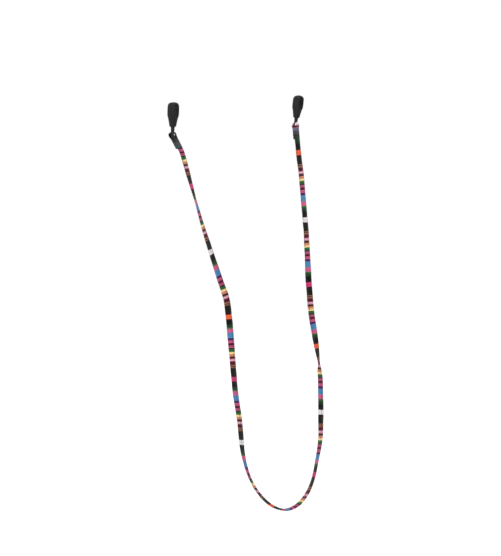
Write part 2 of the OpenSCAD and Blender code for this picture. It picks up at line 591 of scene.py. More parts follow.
@dataclass(frozen=True)
class LoopSizes:
    """Sizes of a temple loop, in its own frame: the slot's centre at the origin, neck down."""

    slot_width: float = 5.2 * MM
    slot_height: float = 10 * MM
    depth: float = 8.8 * MM
    side_wall: float = 1.3 * MM
    crown_wall: float = 3 * MM
    edge_round: float = 2.6 * MM
    taper: float = 6.5 * MM
    shoulder_width: float = 5.2 * MM
    shoulder_round: float = 1 * MM
    neck: float = 6.5 * MM
    neck_width: float = 3 * MM
    neck_thickness: float = 2.5 * MM
    pin_diameter: float = 1.2 * MM
    barrel_wall: float = 0.7 * MM

    @property
    def width(self) -> float:
        """Width across the slot."""
        return self.slot_width + 2 * self.side_wall

    @property
    def crown(self) -> float:
        """Height of the crown."""
        return self.slot_height / 2 + self.crown_wall

    @property
    def shoulder(self) -> float:
        """Height of the shoulder, below the slot's centre."""
        return -self.slot_height / 2 - self.taper

    @property
    def pin_drop(self) -> float:
        """Distance from the slot's centre down to the pin."""
        return self.neck - self.shoulder

    @property
    def barrel_radius(self) -> float:
        """Radius of the barrel that grips the pin."""
        return self.pin_diameter / 2 + self.barrel_wall


@dataclass(frozen=True)
class StrapSizes:
    """Sizes of the folded strap and of its sewn ends."""

    width: float = 5.2 * MM
    thickness: float = 1.6 * MM
    fold_length: float = 12 * MM
    seam_inset: float = 1 * MM
    thread: float = 0.4 * MM
    bore: float = 0.65 * MM
    notch_width: float = 3.3 * MM
    notch_floor: float = -1.6 * MM
    tack_top: float = -4.85 * MM
    tack_foot: float = -10.7 * MM
    tack_half: float = 1.5 * MM

    @property
    def seam(self) -> float:
        """Distance of the long seam from the strap's middle."""
        return self.width / 2 - self.seam_inset


@dataclass(frozen=True)
class Placement:
    """Where one temple loop and its sewn end stand at rest."""

    side: Side
    slot_x: float
    slot_z: float
    lean: float
    slant: float
    sizes: LoopSizes = LoopSizes()
    strap: StrapSizes = StrapSizes()

    def loop_frame(self) -> Matrix:
        """Takes the loop's own frame to the row frame."""
        return Matrix.Translation((self.slot_x, 0, self.slot_z)) @ Matrix.Rotation(
            math.radians(self.lean), 4, "Y"
        )

    def pin(self) -> Vector:
        """Centre of the pin."""
        return self.loop_frame() @ Vector((0, 0, -self.sizes.pin_drop))

    def end_frame(self) -> Matrix:
        """Takes the sewn end's own frame, with the pin at its origin, to the row frame."""
        return Matrix.Translation(self.pin()) @ Matrix.Rotation(math.radians(self.slant), 4, "Y")

    def band_exit(self) -> Vector:
        """Where the free band leaves the sewn end."""
        return self.end_frame() @ Vector((self.strap.thickness / 2, 0, -self.strap.fold_length))

    def down(self) -> Vector:
        """The sewn end's own downward direction."""
        return self.end_frame().to_3x3() @ Vector((0, 0, -1))


@dataclass
class StrapLine:
    """The free band's line from the left sewn end to the right one, with its width's direction.

    A station is a point and a roll in degrees, where 0 lays the width along Y.
    """

    left: Placement
    right: Placement
    spacing: float = 0.5 * MM
    blend_length: float = 5 * MM
    stations: tuple[tuple[float, float, float, float], ...] = (
        (0.006, 0, -0.034, 5),
        (0.009, -0.001, -0.050, 12),
        (0.014, -0.002, -0.074, 42),
        (0.019, -0.002, -0.094, 60),
        (0.024, -0.003, -0.114, 75),
        (0.030, -0.003, -0.134, 88),
        (0.035, -0.004, -0.153, 110),
        (0.036, -0.004, -0.167, 132),
        (0.036, -0.004, -0.184, 142),
        (0.035, -0.005, -0.206, 165),
        (0.035, -0.005, -0.230, 172),
        (0.036, -0.006, -0.254, 178),
        (0.036, -0.006, -0.274, 188),
        (0.038, -0.006, -0.290, 203),
        (0.043, -0.006, -0.305, 205),
        (0.052, -0.006, -0.319, 195),
        (0.064, -0.006, -0.330, 185),
        (0.078, -0.006, -0.336, 180),
        (0.092, -0.006, -0.335, 175),
        (0.104, -0.006, -0.328, 165),
        (0.113, -0.006, -0.317, 155),
        (0.120, -0.006, -0.301, 157),
        (0.126, -0.006, -0.284, 170),
        (0.130, -0.005, -0.264, 186),
        (0.132, -0.005, -0.245, 182),
        (0.133, -0.005, -0.233, 178),
        (0.133, -0.005, -0.226, 168),
        (0.133, -0.005, -0.218, 132),
        (0.132, -0.004, -0.196, 75),
        (0.130, -0.004, -0.176, 60),
        (0.130, -0.004, -0.162, 64),
        (0.131, -0.003, -0.148, 45),
        (0.132, -0.003, -0.130, 12),
        (0.134, -0.002, -0.106, 2),
        (0.134, -0.002, -0.082, 0),
        (0.135, -0.001, -0.058, 0),
        (0.135, 0, -0.038, 0),
    )
    along: Array = field(init=False)
    centres: Array = field(init=False)
    widths: Array = field(init=False)
    faces: Array = field(init=False)

    def __post_init__(self) -> None:
        """Samples the curve at even distances."""
        way = np.array(
            [(*self.left.band_exit(), 0), *self.stations, (*self.right.band_exit(), 0)], float
        )
        dense = self.through(way, 40)
        run = self.distances(dense)
        count = round(run[-1] / self.spacing) + 1
        self.along = np.linspace(0, run[-1], count)
        even = np.stack([np.interp(self.along, run, dense[:, k]) for k in range(4)], axis=1)
        self.centres = even[:, :3]
        heading = unit_rows(np.gradient(self.centres, axis=0))
        ends = ((self.along, self.left.down()), (run[-1] - self.along, -self.right.down()))
        for start, way_out in ends:
            share = ease(start / self.blend_length)[:, None]
            heading = unit_rows(np.array(way_out)[None] * (1 - share) + heading * share)
        level = unit_rows(np.array([0.0, 1.0, 0.0]) - heading * heading[:, 1:2])
        roll = np.radians(even[:, 3])[:, None]
        self.widths = level * np.cos(roll) + np.cross(heading, level) * np.sin(roll)
        self.faces = np.cross(heading, self.widths)

    @staticmethod
    def distances(points: Array) -> Array:
        """Distance along a line of points, from its first one."""
        steps = np.linalg.norm(np.diff(points[:, :3], axis=0), axis=1)
        return np.concatenate([[0.0], np.cumsum(steps)])

    @staticmethod
    def through(way: Array, steps: int) -> Array:
        """A smooth curve through every row of a list of stations.

        Args:
            way: The stations.
            steps: How many points to make between one and the next.

        Returns:
            The curve's points and rolls.
        """
        padded = np.vstack([2 * way[0] - way[1], way, 2 * way[-1] - way[-2]])
        rows = []
        for a, b, c, d in zip(padded, padded[1:], padded[2:], padded[3:]):
            for t in np.arange(steps) / steps:
                rows.append(
                    (
                        2 * b
                        + (c - a) * t
                        + (2 * a - 5 * b + 4 * c - d) * t * t
                        + (3 * b - a - 3 * c + d) * t**3
                    )
                    / 2
                )
        return np.array([*rows, way[-1]])

    def length(self) -> float:
        """Length of the free band."""
        return float(self.along[-1])

    def at(self, along: Array, across: Array | float, out: Array | float) -> Array:
        """Points on or near the band.

        Args:
            along: Distances from the left sewn end.
            across: Distances from the middle, towards the open edge.
            out: Distances from the band's middle layer.

        Returns:
            One row for each point.
        """
        parts = [
            np.stack([np.interp(along, self.along, rows[:, k]) for k in range(3)], axis=1)
            for rows in (self.centres, unit_rows(self.widths), unit_rows(self.faces))
        ]
        across, out = (np.broadcast_to(v, along.shape)[:, None] for v in (across, out))
        return parts[0] + parts[1] * across + parts[2] * out


# ---- stripe pattern


@dataclass(frozen=True)
class StripeLayout:
    """Where the stripe pattern stands along the band, measured from just below the left pin.

    The pattern runs from the right end down, round the bottom and up to the left end. The weaver's
    repeat varies a little, so each bar and each blue stripe has its own place.
    """

    from_pin: float = 13.3
    bars: tuple[float, ...] = (
        669.3, 611.4, 555.6, 502.1, 444.7, 391.0, 326.0, 260.7, 208.5, 157.5, 101.2, 45.5,
    )  # fmt: skip
    blues: tuple[float, ...] = (
        630.2, 573.1, 519.3, 462.6, 405.7, 344.5, 278.3, 224.0, 172.6, 119.7, 63.6,
    )  # fmt: skip
    blue_place: float = 0.693
    usual_repeat: float = 56.0
    first_repeat: float = 66.0
    last_repeat: float = 50.7

    def place(self, along: Array) -> Array:
        """The place in the pattern, in repeats, at distances in metres along the free band."""
        marks = [(d, float(i)) for i, d in enumerate(self.bars)]
        marks += [(d, i + self.blue_place) for i, d in enumerate(self.blues)]
        first, last = self.bars[0], self.bars[-1]
        marks += [(first + self.first_repeat, -1.0), (last - self.last_repeat, len(self.bars))]
        marks.sort()
        at = along / MM + self.from_pin
        return np.interp(at, [d for d, _ in marks], [v for _, v in marks])


def one_repeat() -> tuple[tuple[float, Yarn], ...]:
    """The stripes of one repeat, each with its start as a share of the repeat."""
    ends = (
        (4.4, Yarn.WINE),
        (11.4, Yarn.OLIVE),
        (12.6, Yarn.TAN),
        (13.2, Yarn.OLIVE),
        (14.9, Yarn.TAN),
        (18.4, Yarn.MAROON),
        (19.5, Yarn.MAUVE),
        (19.9, Yarn.PALE_PINK),
        (21.3, Yarn.MAUVE),
        (23.6, Yarn.BROWN),
        (24.7, Yarn.SALMON),
        (25.0, Yarn.BROWN),
        (26.2, Yarn.SALMON),
        (28.2, Yarn.CREAM),
        (31.1, Yarn.GREEN),
        (32.7, Yarn.CHARCOAL),
        (33.7, Yarn.PINK),
        (34.1, Yarn.MAROON),
        (34.9, Yarn.PINK),
        (37.4, Yarn.MAROON),
        (38.7, Yarn.PINK),
        (39.0, Yarn.MAROON),
        (40.4, Yarn.PINK),
        (42.7, Yarn.VIOLET),
        (48.6, Yarn.BLUE),
        (53.1, Yarn.PINK),
        (54.8, Yarn.GREEN),
        (57.6, Yarn.DARK_GREEN),
        (62.0, Yarn.BLACK),
        (66.0, Yarn.WINE),
    )
    total, start, stops = ends[-1][0], 0.0, []
    for end, yarn in ends:
        stops.append((start / total, yarn))
        start = end
    return tuple(stops)


def mirrored(half: tuple[tuple[float, Yarn], ...]) -> tuple[tuple[float, Yarn], ...]:
    """Stripes of a sewn end, whose two layers show the same colours at the same height.

    Args:
        half: Each stripe from the top of the fold down, with its end as a share of the whole
            layer, up to 0.5.

    Returns:
        The stripes along the whole layer, each with its start.
    """
    rising = [(0.5 - end, yarn) for end, yarn in reversed(half)]
    falling = [(0.5 + end, yarn) for (end, _), (_, yarn) in zip(half, half[1:])]
    return tuple(rising + falling)


# ---- cloth section


@dataclass(frozen=True)
class FoldedSection:
    """Cross-section of the folded band: a rounded fold on one edge, two open lips on the other."""

    sizes: StrapSizes = StrapSizes()
    columns: tuple[float, ...] = (
        2.2, 1.9, 1.65, 1.5, 1.0, 0.5, 0.0, -0.5, -1.0, -1.5, -1.65, -1.9, -2.2,
    )  # fmt: skip
    lip: tuple[tuple[float, float], ...] = ((2.5, 0.08), (2.6, 0.3), (2.56, 0.56), (2.42, 0.72))
    fold: tuple[tuple[float, float], ...] = ((-2.42, 0.7), (-2.56, 0.46), (-2.62, 0.16))
    groove: float = 2.24
    half_width: float = 2.6
    crown: float = 0.05
    seam_dip: float = 0.07
    seam_rest: float = 0.35
    seam_spread: float = 0.42 * MM
    face_from: float = 0.5 * MM

    def outline(self) -> Array:
        """The closed outline, once round, as rows of (across, out) in metres."""
        half = self.sizes.thickness / 2 / MM
        flat = [(u, half - self.crown * (u / self.half_width) ** 2) for u in self.columns]
        lower = [*self.lip, *flat, *self.fold]
        under = [(u, -v) for u, v in lower]
        over = list(reversed(lower))
        return np.array([(self.groove, 0.0), *under, *over]) * MM

    def round_distance(self) -> Array:
        """Distance round the outline at each of its points and back at the first, in metres."""
        outline = self.outline()
        closed = np.vstack([outline, outline[:1]])
        return np.concatenate([[0.0], np.cumsum(np.linalg.norm(np.diff(closed, axis=0), axis=1))])

    def seam_weight(self) -> Array:
        """How strongly each point of the outline is pulled in by the seam, from 0 to 1."""
        outline = self.outline()
        near = np.exp(-(((outline[:, 0] - self.sizes.seam) / self.seam_spread) ** 2))
        return near * (np.abs(outline[:, 1]) > self.face_from)


@dataclass(frozen=True)
class TubeGrid:
    """A closed tube's rings as mesh faces and per-corner values."""

    rings: int
    sides: int

    def faces(self) -> list[tuple[int, ...]]:
        """The tube's walls and its two caps."""
        n = self.sides
        walls = [
            (i * n + k, i * n + (k + 1) % n, (i + 1) * n + (k + 1) % n, (i + 1) * n + k)
            for i in range(self.rings - 1)
            for k in range(n)
        ]
        last = (self.rings - 1) * n
        return [*walls, tuple(reversed(range(n))), tuple(range(last, last + n))]

    def corners(self, across: Array, along: Array) -> Array:
        """Per-corner pairs for the walls and caps.

        Args:
            across: One value for each of the sides and one more, where the outline closes.
            along: One value for each ring.

        Returns:
            One row for each face corner, in the order of faces().
        """
        n = self.sides
        i, k = (g.ravel() for g in np.meshgrid(range(self.rings - 1), range(n), indexing="ij"))
        x = np.stack([across[k], across[k + 1], across[k + 1], across[k]], axis=1)
        y = np.stack([along[i], along[i], along[i + 1], along[i + 1]], axis=1)
        walls = np.stack([x.ravel(), y.ravel()], axis=1)
        first = np.stack([across[:n][::-1], np.full(n, along[0])], axis=1)
        last = np.stack([across[:n], np.full(n, along[-1])], axis=1)
        return np.vstack([walls, first, last])


# ---- pieces


@dataclass
class FreeBand:
    """The free cloth band between the sewn ends, with its long lock-stitched seam."""

    line: StrapLine
    layout: StripeLayout = StripeLayout()
    section: FoldedSection = FoldedSection()
    stitch_pitch: float = 2.6 * MM
    stitch_gap: float = 0.4 * MM
    bar_rise: float = 0.05 * MM
    bar_reach: float = 2.1 * MM
    bar_slope: float = 0.5 * MM
    plain_length: float = 6 * MM
    width_wobble: Wobble = Wobble(0.018, 17 * MM, 3)
    thickness_wobble: Wobble = Wobble(0.05, 9 * MM, 5)
    side_wobble: Wobble = Wobble(0.06 * MM, 24 * MM, 8)
    lip_wobble: Wobble = Wobble(0.07 * MM, 11 * MM, 13)
    lip_from: float = 2.3 * MM
    stitch_sink: float = 0.14 * MM
    sheet_rows: int = 7
    sheet_margin: float = 0.004
    row_margin: float = 0.03

    def build(self) -> list[bpy.types.Object]:
        """Makes the band and both threads of its seam.

        Returns:
            The band, then the upper and the lower row of stitches.
        """
        band = self.cloth()
        needle = self.stitches("seam_needle_stitches", 1)
        bobbin = self.stitches("seam_bobbin_stitches", -1)
        thread = SewingThread().material()
        cotton = StripedCotton(
            "striped_cotton", one_repeat(), bars=(Yarn.ORANGE, Yarn.WHITE, Yarn.MAGENTA)
        )
        dress(band, cotton.material(), Body.STRAP)
        for row, node in ((needle, "seam_needle_thread"), (bobbin, "seam_bobbin_thread")):
            dress(row, thread, Body.STRAP)
            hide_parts(node)
        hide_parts("strap_band")
        tuple(self.line.left.band_exit())
        length, rings = self.line.length() / MM, len(self.line.along)
        log.info("band: %.1f mm of free cloth, %d rings", length, rings)
        return [band, needle, bobbin]

    def rest_share(self) -> Array:
        """How much each ring may vary: nothing at the sewn ends, which it has to meet."""
        along, total = self.line.along, self.line.length()
        return ease(np.minimum(along, total - along) / self.plain_length)

    def cloth(self) -> bpy.types.Object:
        """The band's own mesh, with its slight waves, puckers and raised bars."""
        along, outline = self.line.along, self.section.outline()
        share = self.rest_share()
        place = self.layout.place(along)
        wide = 1 + self.width_wobble.at(along) * share
        thick = 1 + self.thickness_wobble.at(along) * share
        drift = self.side_wobble.at(along) * share
        nearest = np.abs(place - np.round(place)) * self.layout.usual_repeat * MM
        rise = self.bar_rise * ease((self.bar_reach - nearest) / self.bar_slope) * share
        hole = np.abs((along / self.stitch_pitch) % 1 - 0.5) * 2
        # The seam pulls the cloth in along its whole length, and deepest at each needle hole.
        depth = self.section.seam_rest + 1.1 * ease((hole - 0.45) / 0.55) * share
        dip = self.section.seam_dip * MM * depth
        pull = self.section.seam_weight()
        lip = self.lip_wobble.at(along) * share
        sign = np.sign(outline[:, 1])
        across = outline[None, :, 0] * wide[:, None] + drift[:, None]
        across = across + lip[:, None] * (outline[None, :, 0] > self.lip_from) * sign[None]
        out = outline[None, :, 1] * thick[:, None]
        face = np.abs(outline[:, 1]) > self.section.face_from
        out = out + sign[None] * (rise[:, None] * face[None] - dip[:, None] * pull[None])
        points = (
            self.line.centres[:, None]
            + self.line.widths[:, None] * across[..., None]
            + self.line.faces[:, None] * out[..., None]
        )
        grid = TubeGrid(len(along), len(outline))
        band = mesh_piece("striped_band", points.reshape(-1, 3), grid.faces())
        girth = self.section.round_distance()
        closed = np.append(outline[:, 0], outline[0, 0])
        write_map(band, "stripes", grid.corners(closed / MM, place))
        write_map(band, "cloth", grid.corners(girth / MM, along / MM))
        write_map(band, "OFBake", self.bake_rows(grid, girth))
        return band

    def bake_rows(self, grid: TubeGrid, girth: Array) -> Array:
        """A flat layout of the band's surface in rows, one under another.

        Args:
            grid: The band's faces.
            girth: Distance round the outline at each side.

        Returns:
            One row for each face corner, within the unit square.
        """
        per_row = math.ceil((grid.rings - 1) / self.sheet_rows)
        n = grid.sides
        i, k = (g.ravel() for g in np.meshgrid(range(grid.rings - 1), range(n), indexing="ij"))
        row, step = i // per_row, i % per_row
        ring = np.stack([step, step, step + 1, step + 1], axis=1) / per_row
        side = girth[np.stack([k, k + 1, k + 1, k], axis=1)] / girth[-1]
        x = self.sheet_margin + (1 - 2 * self.sheet_margin) * ring
        within = self.row_margin + (1 - 2 * self.row_margin) * side
        y = (row[:, None] + within) / self.sheet_rows
        walls = np.stack([x.ravel(), y.ravel()], axis=1)
        caps = np.full((2 * n, 2), 0.001)
        spread = 0.0015 * np.arange(n) / n
        caps[:n, 0] += spread
        caps[n:, 1] += spread
        return np.vstack([walls, caps])

    def stitches(self, name: str, face: int) -> bpy.types.Object:
        """One face's row of lock stitches.

        Args:
            name: The piece's name.
            face: 1 for the needle side, -1 for the other.

        Returns:
            The row of stitches.
        """
        builder = StitchRow(self.section.sizes.thread / 2)
        half = self.section.sizes.thickness / 2
        count = int((self.line.length() - 4 * MM) / self.stitch_pitch)
        start = (self.line.length() - count * self.stitch_pitch) / 2
        for k in range(count):
            ends = start + self.stitch_pitch * np.array([k, k + 1])
            at = np.linspace(ends[0] + self.stitch_gap / 2, ends[1] - self.stitch_gap / 2, 9)
            bow = builder.bow(len(at))
            seam = self.section.sizes.seam
            middle = self.line.at(at, seam, face * (half - self.stitch_sink + bow))
            up = self.line.at(at, seam, face * (half + 1 * MM)) - middle
            builder.add(middle, up)
        return builder.piece(name)


@dataclass
class StitchRow:
    """Collects stitches of two-ply thread into one piece."""

    radius: float
    sides: int = 8
    turns: float = 1.6
    groove: float = 0.13
    bow_rise: float = 0.3 * MM
    dive: float = 0.16 * MM
    points: list[Array] = field(default_factory=list)
    faces: list[tuple[int, ...]] = field(default_factory=list)

    def bow(self, count: int) -> Array:
        """How far a stitch stands off the cloth along its length: it dives in at both ends."""
        t = np.linspace(0, 1, count)
        return self.bow_rise * np.sin(math.pi * t) ** 0.5 - self.dive

    def add(self, middle: Array, up: Array) -> None:
        """Adds one stitch.

        Args:
            middle: Its centreline.
            up: A direction away from the cloth at each point.
        """
        heading = unit_rows(np.gradient(middle, axis=0))
        side = unit_rows(np.cross(heading, unit_rows(up)))
        top = np.cross(side, heading)
        turn = np.linspace(0, 2 * math.pi, self.sides, endpoint=False)[None]
        t = np.linspace(0, 1, len(middle))[:, None]
        twist = 2 * math.pi * self.turns * t
        taper = 0.55 + 0.45 * np.sin(math.pi * np.clip(t, 0.04, 0.96)) ** 0.4
        radius = self.radius * taper * (1 + self.groove * np.cos(2 * (turn - twist)))
        ring = (
            middle[:, None]
            + side[:, None] * (radius * np.cos(turn))[..., None]
            + top[:, None] * (radius * np.sin(turn))[..., None]
        )
        base = sum(len(p) for p in self.points)
        grid = TubeGrid(len(middle), self.sides)
        self.points.append(ring.reshape(-1, 3))
        self.faces += [tuple(base + v for v in face) for face in grid.faces()]

    def piece(self, name: str) -> bpy.types.Object:
        """All the stitches so far, as one piece."""
        return mesh_piece(name, np.vstack(self.points), self.faces)


@dataclass
class SewnEnd:
    """One end of the band: turned round its pin, notched for the loop's neck and tacked down."""

    place: Placement
    stripes: tuple[tuple[float, Yarn], ...]
    section: FoldedSection = FoldedSection()
    ring_gap: float = 0.35 * MM
    arc_start: float = -12.0
    arc_step: float = 8.5
    flare_pull: float = 3.2 * MM
    stitch_sink: float = 0.14 * MM
    stitch_inset: float = 0.15 * MM

    def path(self) -> tuple[Array, Array]:
        """The layer's middle line, from the free band up, over the pin and down to its cut end.

        Returns:
            The points and the directions out of the layer, in the end's own XZ plane.
        """
        s = self.section.sizes
        layer = s.thickness / 2
        radius = s.bore + layer
        knee = -(s.bore + 2 * s.thickness)
        heights = np.arange(-s.fold_length, knee - 0.2 * MM, self.ring_gap)
        rise = np.array([(layer, z) for z in heights])
        tip = math.radians(self.arc_start)
        meet = radius * np.array([math.cos(tip), math.sin(tip)])
        t = np.linspace(0, 1, 10)[:-1, None]
        a, b = np.array([layer, knee]), meet
        va, vb = (self.flare_pull * np.array([-math.sin(w), math.cos(w)]) for w in (0.0, tip))
        flare = (
            (2 * t**3 - 3 * t**2 + 1) * a
            + (t**3 - 2 * t**2 + t) * va
            + (3 * t**2 - 2 * t**3) * b
            + (t**3 - t**2) * vb
        )
        turn = np.radians(np.arange(self.arc_start, 90, self.arc_step))
        arc = radius * np.stack([np.cos(turn), np.sin(turn)], axis=1)
        half = np.vstack([rise, flare, arc])
        back = half[::-1] * np.array([-1, 1])
        whole = np.vstack([half, [[0, radius]], back])
        heading = unit_rows(np.gradient(whole, axis=0))
        outward = np.stack([heading[:, 1], -heading[:, 0]], axis=1)
        return whole, outward

    def build(self) -> list[bpy.types.Object]:
        """Makes the sewn end and its tack.

        Returns:
            The cloth, then the tack's stitches.
        """
        side = self.place.side.value
        cloth = self.cloth(f"{side}_sewn_end")
        cotton = StripedCotton(f"{side}_end_cotton", self.stripes)
        dress(cloth, cotton.material(), Body.STRAP)
        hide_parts(f"{side}_strap_end")
        tack = self.tack(f"{side}_tack_stitches")
        thread = SewingThread(f"{side}_tack_thread_finish")
        dress(tack, thread.material(), Body.STRAP)
        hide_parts(f"{side}_tack_thread")
        log.info("%s sewn end: %d faces", side, len(cloth.data.polygons))
        return [cloth, tack]

    def cloth(self, name: str) -> bpy.types.Object:
        """The doubled cloth with its notch.

        Args:
            name: The piece's name.

        Returns:
            The cloth piece.
        """
        line, outward = self.path()
        outline = self.section.outline()
        weight = self.section.seam_weight()
        dip = self.section.seam_dip * MM * self.section.seam_rest
        run = StrapLine.distances(line)
        # The outline's far side faces away from the pin all the way round.
        out = outline[:, 1] - np.sign(outline[:, 1]) * dip * weight
        # The cut end is pressed thinner and narrower over its last half millimetre.
        tail = ease((run[-1] - run) / (0.5 * MM))
        pinch = 0.8 + 0.2 * tail
        spot = line[:, None] + outward[:, None] * (out[None, :, None] * pinch[:, None, None])
        wide = outline[None, :, 0] * (0.95 + 0.05 * tail)[:, None]
        points = np.stack([spot[..., 0], wide, spot[..., 1]], axis=2).reshape(-1, 3)
        grid = TubeGrid(len(line), len(outline))
        turned = np.array(self.place.end_frame())
        placed = points @ turned[:3, :3].T + turned[:3, 3]
        piece = mesh_piece(name, placed, grid.faces())
        girth = self.section.round_distance() / MM
        closed = np.append(outline[:, 0], outline[0, 0]) / MM
        write_map(piece, "stripes", grid.corners(closed, 0.999 * run / run[-1]))
        write_map(piece, "cloth", grid.corners(girth, run / MM))
        self.cut_notch(piece, line, outline, grid)
        return piece

    def cut_notch(
        self, piece: bpy.types.Object, line: Array, outline: Array, grid: TubeGrid
    ) -> None:
        """Opens the notch for the neck, from the inner face to the outer one.

        Args:
            piece: The cloth.
            line: Its rings' middle points.
            outline: Its section.
            grid: Its faces.
        """
        half = self.section.sizes.notch_width / 2
        high = line[:, 1] > self.section.sizes.notch_floor
        n = grid.sides
        work = bmesh.new()
        work.from_mesh(piece.data)
        work.faces.ensure_lookup_table()
        gone = []
        for i in range(grid.rings - 1):
            for k in range(n):
                u = (outline[k, 0], outline[(k + 1) % n, 0])
                if high[i] and high[i + 1] and max(map(abs, u)) <= half + 1e-6:
                    gone.append(work.faces[i * n + k])
        bmesh.ops.delete(work, geom=gone, context="FACES_ONLY")
        rims = [e for e in work.edges if e.is_boundary]
        walls = bmesh.ops.bridge_loops(work, edges=rims)["faces"]
        loose = [e for e in work.edges if not e.link_faces]
        bmesh.ops.delete(work, geom=loose, context="EDGES")
        bmesh.ops.delete(work, geom=[v for v in work.verts if not v.link_edges], context="VERTS")
        for face in walls:
            face.smooth = False
        bmesh.ops.recalc_face_normals(work, faces=work.faces)
        work.to_mesh(piece.data)
        work.free()

    def tack(self, name: str) -> bpy.types.Object:
        """Both faces of the boxed tack.

        Args:
            name: The piece's name.

        Returns:
            The tack's stitches.
        """
        s = self.section.sizes
        builder = StitchRow(s.thread / 2)
        frame = np.array(self.place.end_frame())
        across = np.linspace(-s.tack_half, s.tack_half, 4)
        up = np.linspace(s.tack_foot, s.tack_top, 4)
        bars, rows = (s.tack_foot, s.tack_top), (-s.tack_half, s.tack_half)
        runs = [((y, z), (y2, z)) for z in bars for y, y2 in zip(across, across[1:])]
        runs += [((y, z), (y, z2)) for y in rows for z, z2 in zip(up, up[1:])]
        for face in (-1, 1):
            for start, end in runs:
                a, b = np.array(start), np.array(end)
                inset = (b - a) / np.linalg.norm(b - a) * self.stitch_inset
                flat = np.linspace(a + inset, b - inset, 7)
                x = face * (s.thickness - self.stitch_sink + builder.bow(len(flat)))
                middle = np.stack([x, flat[:, 0], flat[:, 1]], axis=1)
                out = np.broadcast_to(np.array([float(face), 0.0, 0.0]), middle.shape)
                builder.add(middle @ frame[:3, :3].T + frame[:3, 3], out @ frame[:3, :3].T)
        return builder.piece(name)


